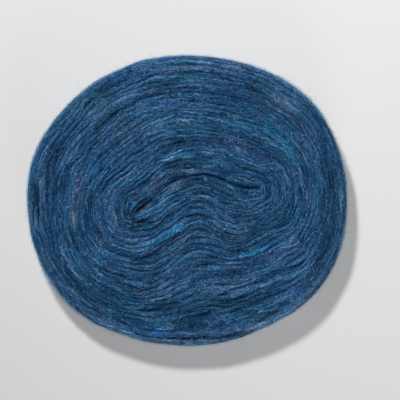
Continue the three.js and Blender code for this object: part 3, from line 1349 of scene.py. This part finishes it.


# The deepest furrows: their depth and half width, and points along them. Each one is also darkened in colour
# by its depth, a painted shade.
CREASES = (
    crease(4.0, 1.8, (136, 212), (141, 208), (146, 204), (150, 200)),
    crease(1.3, 0.6, (149, 208), (156, 203)),
    crease(2.2, 0.9, (164, 187), (178, 180), (190, 177), (206, 174), (216, 176), (224, 181), (233, 185)),
    crease(2.2, 0.9, (240, 187), (252, 189), (262, 188)),
    crease(1.6, 0.8, (141, 186), (150, 177), (155, 173)),
    crease(2.0, 0.9, (159, 168), (170, 163), (178, 161), (189, 164)),
    crease(1.4, 0.8, (120, 178), (129, 172)),
    crease(1.6, 0.9, (124, 160), (133, 154), (146, 150)),
    crease(3.6, 1.2, (126, 215), (133, 221), (140, 222.5), (147, 220)),
    crease(2.2, 0.9, (176, 222), (184, 217), (192, 215), (205, 216), (216, 219)),
    crease(2.3, 0.9, (132, 260), (145, 257), (156, 252), (165, 245), (175, 237), (185, 232)),
    crease(1.3, 0.8, (125, 245), (140, 246)),
    crease(1.3, 0.8, (147, 270), (162, 263)),
    crease(2.0, 1.0, (206, 256), (218, 258)),
    crease(1.4, 0.8, (215, 236), (226, 238)),
    crease(1.5, 0.8, (235, 250), (249, 252)),
    crease(3.0, 1.5, (36, 182), (37, 203), (39, 224)),
    crease(1.6, 0.8, (48, 170), (47, 186), (47, 202)),
    crease(1.5, 0.7, (58, 150), (55, 166), (53, 182)),
    crease(1.5, 0.7, (68, 224), (72, 238), (79, 252)),
    crease(1.5, 0.8, (50, 136), (60, 121), (70, 108), (86, 91)),
    crease(1.5, 0.8, (66, 131), (80, 111), (96, 96), (112, 85)),
    crease(1.6, 0.9, (61, 132), (54, 143), (50, 153)),
    crease(1.6, 0.9, (127, 292), (140, 292), (156, 291)),
    crease(1.5, 0.8, (148, 312), (168, 306), (185, 302)),
    crease(2.3, 1.2, (199, 316), (207, 314), (213, 310)),
    crease(2.0, 0.9, (219, 306), (230, 303), (239, 298), (248, 294)),
    crease(1.9, 0.8, (210, 301), (218, 297), (232, 290), (252, 284), (262, 280)),
    crease(1.9, 0.9, (280, 272), (290, 268), (300, 265), (309, 259)),
    crease(2.0, 1.0, (308, 271), (315, 265), (322, 256)),
    crease(1.8, 0.9, (110, 117), (119, 112)),
    crease(1.8, 1.1, (256, 322), (267, 315), (281, 309)),
    crease(1.4, 0.8, (176, 59), (200, 59), (228, 63)),
    crease(1.7, 0.8, (165, 65), (190, 64), (215, 66), (245, 73)),
    crease(1.6, 0.8, (140, 78), (165, 73), (200, 71.5), (232, 76)),
    crease(1.2, 0.8, (198, 113), (230, 115)),
    crease(1.4, 0.8, (170, 144), (185, 141), (202, 141)),
    crease(1.4, 0.8, (178, 88), (200, 89)),
    crease(1.6, 1.0, (92, 308), (101, 318)),
    crease(1.6, 1.0, (118, 321), (133, 328)),
    crease(1.5, 1.0, (79, 136), (88, 126)),
    crease(1.6, 1.0, (103, 268), (113, 277)),
    crease(1.4, 0.9, (62, 262), (74, 280), (84, 292)),
    crease(1.4, 0.8, (170, 323), (190, 323)),
    crease(1.4, 0.8, (160, 337), (190, 337), (215, 336)),
)

# The lengths with a colour of their own: colour, share of the wool, lift, half width, and points along them.
TINGES = (
    tinge("4b8fc0", 0.7, 0.5, 1.7, (163, 160), (175, 156), (195, 155)),
    tinge("5f84b4", 0.5, 0.4, 1.4, (148, 171), (163, 162)),
    tinge("3f9acb", 0.6, 0.3, 1.5, (212, 158), (222, 163), (231, 169)),
    tinge("6c8caf", 0.5, 0.6, 1.4, (154, 180), (166, 174), (180, 171), (204, 172)),
    tinge("6c7c90", 0.5, 0.3, 1.6, (146, 192), (158, 184)),
    tinge("6a7a8e", 0.45, 0.3, 1.6, (160, 196), (174, 186), (188, 181)),
    tinge("358cc0", 0.6, 0.4, 1.9, (138, 250), (152, 244), (165, 236), (178, 228), (188, 219)),
    tinge("4f9cc8", 0.5, 0.4, 1.3, (150, 208), (158, 203), (170, 199)),
    tinge("4b9cc4", 0.5, 0.3, 1.4, (204, 270), (222, 268)),
    tinge("3487c0", 0.6, 0.4, 1.6, (238, 258), (252, 253), (268, 248)),
    tinge("4787b4", 0.5, 0.4, 1.6, (168, 264), (182, 257), (200, 252)),
    tinge("5b9bcb", 0.6, 0.5, 1.6, (262, 286), (285, 277), (304, 271), (315, 262)),
    tinge("5590c4", 0.6, 0.4, 1.5, (285, 268), (300, 261), (310, 253)),
    tinge("5c8fc0", 0.5, 0.5, 1.6, (228, 297), (246, 290), (262, 283)),
    tinge("6c90b8", 0.45, 0.4, 1.5, (204, 303), (218, 292), (240, 284)),
    tinge("2b84ae", 0.5, 0.1, 3.2, (264, 125), (278, 131), (287, 145), (292, 160)),
    tinge("2f92b4", 0.5, 0.0, 1.8, (233, 125), (241, 127)),
    tinge("378fae", 0.45, 0.1, 2.4, (184, 77), (206, 78)),
    tinge("5c9cc6", 0.45, 0.4, 1.2, (168, 62), (192, 61), (216, 63)),
    tinge("648fbc", 0.55, 0.4, 1.4, (150, 72), (180, 68), (215, 69)),
    tinge("a4c6dc", 0.45, 0.2, 0.9, (174, 121.5), (188, 121)),
    tinge("1f70c4", 0.7, 0.1, 1.2, (112, 79), (120, 77)),
    tinge("2a86c8", 0.7, 0.2, 1.5, (93, 176), (97, 167)),
    tinge("4a84c0", 0.5, 0.2, 1.4, (97, 184), (103, 172)),
    tinge("2a86c4", 0.7, 0.1, 1.4, (129, 282), (140, 282)),
    tinge("2f80c8", 0.6, 0.1, 1.2, (106, 300), (112, 303)),
    tinge("2f8cae", 0.6, 0.1, 1.2, (130, 309), (140, 309)),
    tinge("1f6cc8", 0.8, 0.1, 1.2, (153, 332), (168, 333)),
    tinge("2868b8", 0.6, 0.1, 1.3, (121, 319), (134, 323)),
    tinge("9aa2ac", 0.4, 0.2, 0.9, (100, 237), (102, 244)),
    tinge("8f9aa6", 0.5, 0.2, 1.4, (71, 212), (75, 224)),
    tinge("5a88b4", 0.5, 0.5, 1.2, (46, 172), (43, 188), (43, 206)),
    tinge("4e86b4", 0.4, 0.3, 1.1, (96, 172), (90, 190), (90, 206)),
    tinge("44546c", 0.45, 0.0, 4.5, (82, 176), (76, 196), (76, 214)),
    tinge("2f8cb8", 0.6, 0.2, 1.8, (97, 255), (104, 264)),
    tinge("2e2824", 0.5, -0.6, 1.2, (63, 243), (66, 254)),
    tinge("2e2218", 0.8, -0.8, 1.2, (94, 130), (99, 128)),
    # A pale strand on the lower right rim, made paler and wider as painted light where the rim catches the
    # light.
    tinge("7faad0", 0.7, 0.3, 1.6, (238, 332), (266, 323), (292, 310), (308, 299)),
    tinge("3f5fa8", 0.35, 0.0, 2.2, (288, 296), (303, 288)),
    # A pale band along the lower rim: painted light where the lower rim catches the light.
    tinge("6f9ecc", 0.5, 0.2, 1.4, (84, 309), (106, 325), (140, 339), (190, 344.5), (232, 339)),
    tinge("335aa0", 0.4, 0.0, 2.6, (160, 100), (178, 104)),
    tinge("5e8eb8", 0.3, 0.0, 8.0, (72, 124), (102, 103), (140, 92)),
    tinge("6288ac", 0.2, 0.0, 8.0, (120, 140), (145, 128), (175, 128)),
    tinge("6c86a4", 0.3, 0.0, 7.0, (270, 90), (300, 118)),
    tinge("123a60", 0.5, 0.0, 9.0, (52, 175), (50, 205), (60, 245)),
    tinge("123a60", 0.3, 0.0, 8.0, (90, 180), (88, 215)),
)


def random_lays(turns: int) -> tuple[Lay, ...]:
    """Draws the lengths of roving that lie across their neighbours, over the whole wheel."""
    rng = np.random.default_rng(5)
    return tuple(
        Lay(
            girth=rng.uniform(3, turns - 1),
            share=rng.random(),
            half_length=rng.uniform(0.03, 0.09),
            drift=rng.normal(0, 14),
            half_width=rng.uniform(0.25, 0.6),
            lift=rng.uniform(-0.5, 0.5),
        )
        for _ in range(170)
    )


def main() -> None:
    """Builds the wheel piece by piece, and then the studio."""
    logging.basicConfig(level=logging.INFO, format="%(name)s %(message)s")
    low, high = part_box(WHEEL_NODE)
    rim_relief = 0.8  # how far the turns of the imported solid's rim stand out
    fuzz = 1.3  # how far the skin's base is kept in, for its ridges and the fibres
    mean_radius = (high.x - low.x + high.y - low.y) / 4 / MM - rim_relief - fuzz
    thickness = high.z / MM
    winding = Winding(mean_radius)
    lays = random_lays(Skin(winding, thickness).turns)
    skin = Skin(winding, thickness, lays, CREASES, TINGES)
    heather = Heather(31, CREASES, TINGES)

    wool = CardedWool("carded_wool").make()
    fit(WoundBody(skin, heather).build(), wool, WHEEL_NODE)

    top = (0.3, skin.face_turns + 2.0)
    rim = (skin.face_turns + 1.0, skin.face_turns + skin.rim_turns - 1.0)
    under = (skin.face_turns + skin.rim_turns - 1.0, skin.turns - 0.5)
    lock = dict(
        half_width=(0.35, 0.8),
        thickness=0.6,
        lift=(-0.35, 0.1),
        tilt=0.08,
        crimp=0.4,
        steps=7,
        sides=4,
        contrast=0.38,
        on_ridges=0.9,
    )
    thread = dict(
        half_width=(0.1, 0.2),
        thickness=0.8,
        lift=(0.0, 0.42),
        tilt=0.55,
        crimp=0.6,
        steps=5,
        sides=3,
        contrast=0.8,
        on_ridges=0.5,
    )
    for piece in (
        LooseWool(skin, heather, "top_locks", 101, 2100, top, (10, 26), **lock),
        LooseWool(skin, heather, "rim_locks", 102, 900, rim, (10, 26), **lock),
        LooseWool(skin, heather, "top_fibres_a", 103, 10500, top, (3, 8), **thread),
        LooseWool(skin, heather, "top_fibres_b", 104, 10500, top, (3, 8), **thread),
        LooseWool(skin, heather, "rim_fibres", 105, 7000, rim, (3, 8), **thread),
        LooseWool(skin, heather, "underside_fibres", 106, 2500, under, (5, 14), **thread),
    ):
        fit(piece.build(), wool)
    halo = Flyaways(
        skin,
        heather,
        "halo_fibres",
        seed=77,
        count=18000,
        length=(0.8, 2.8),
        half_width=0.075,
        bend=1.0,
        droop=0.2,
        steps=3,
        painted_lit_colour="8cc8ee",
        painted_light_share=0.85,
    )
    hairs = Flyaways(
        skin,
        heather,
        "stray_hairs",
        seed=78,
        count=70,
        length=(3.0, 9.0),
        half_width=0.07,
        bend=2.5,
        droop=0.3,
        steps=10,
        painted_lit_colour="4a6078",
        painted_light_share=0.5,
    )
    for flyaways in (halo, hairs):
        fit(flyaways.build(), wool)
    Studio().build(thickness)


if __name__ == "__main__":
    main()
